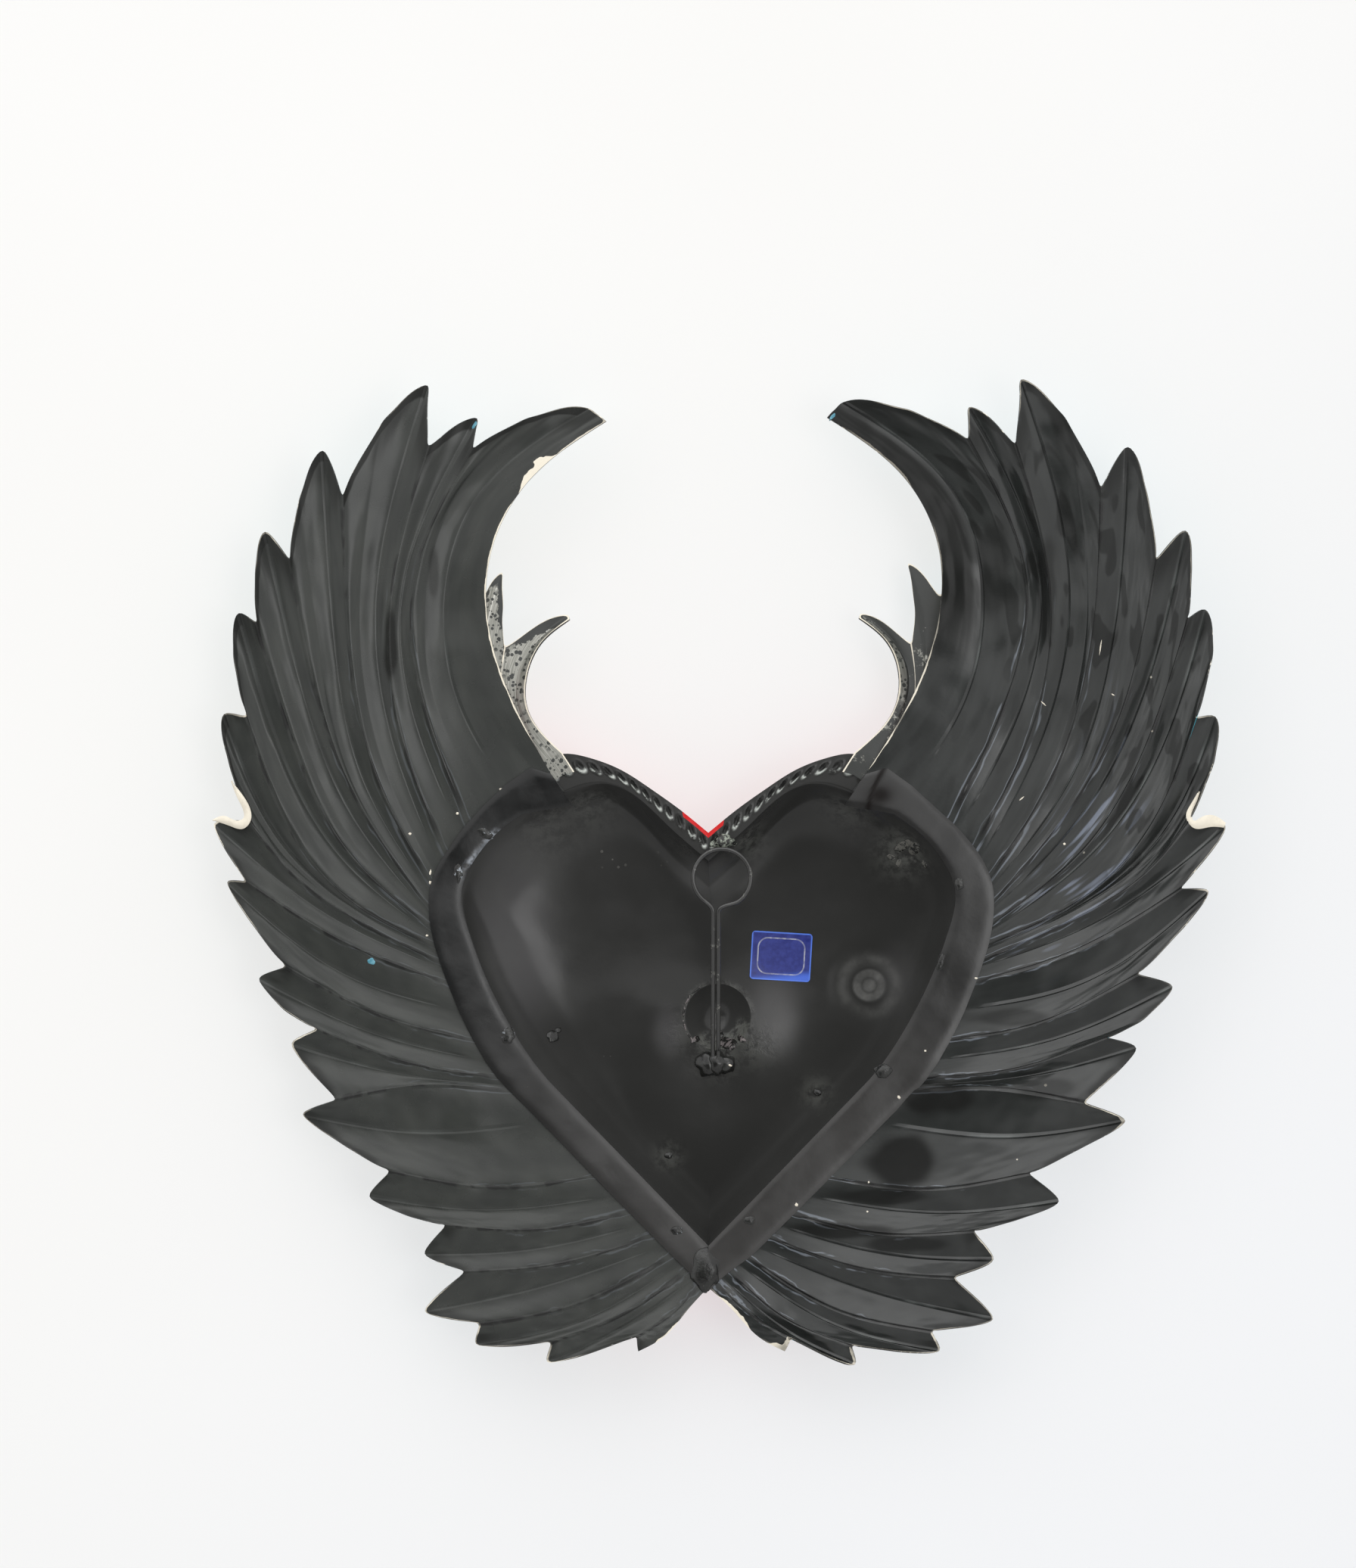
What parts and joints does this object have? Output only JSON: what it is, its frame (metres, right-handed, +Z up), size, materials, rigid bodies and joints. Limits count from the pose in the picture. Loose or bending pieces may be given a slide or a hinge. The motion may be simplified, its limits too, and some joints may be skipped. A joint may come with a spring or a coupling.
{
  "type": "winged heart wall ornament",
  "caption": "Painted tin wall ornament: a domed, bead-rimmed heart between layered pleated wings, held by soldered binding strips and hung from a wire ring on its back.",
  "frame": {"origin": "middle of the wire hanging ring on the back", "axes": "+Z up, +X along the wings to the right as seen from the front, front faces -Y"},
  "size_m": [0.2993, 0.0269, 0.2915],
  "materials": {
    "heart_paint": "gloss black spray on the back, red enamel on the front",
    "wing_paint": "satin black spray on the back, pale enamel on the front",
    "bare_tin": "bare tinplate with paint overspray",
    "strip_paint": "gloss black spray",
    "wire_paint": "steel wire with gloss black spray",
    "solder": "lumpy solder under a thin coat of spray paint",
    "label_paper": "coated blue label paper"
  },
  "bodies": {
    "root": {"heart_shell": "heart_paint", "centre_boss": "heart_paint", "wing_right": "wing_paint", "wing_left": "wing_paint", "covert_right": "bare_tin", "covert_left": "bare_tin", "binding_strip_right": "strip_paint", "binding_strip_left": "strip_paint", "hanger_wire": "wire_paint", "hanger_foot_solder": "solder", "notch_solder": "solder", "tip_solder": "solder", "strip_tacks_right": "solder", "strip_tacks_left": "solder", "sticker": "label_paper"}
  },
  "joints": []
}
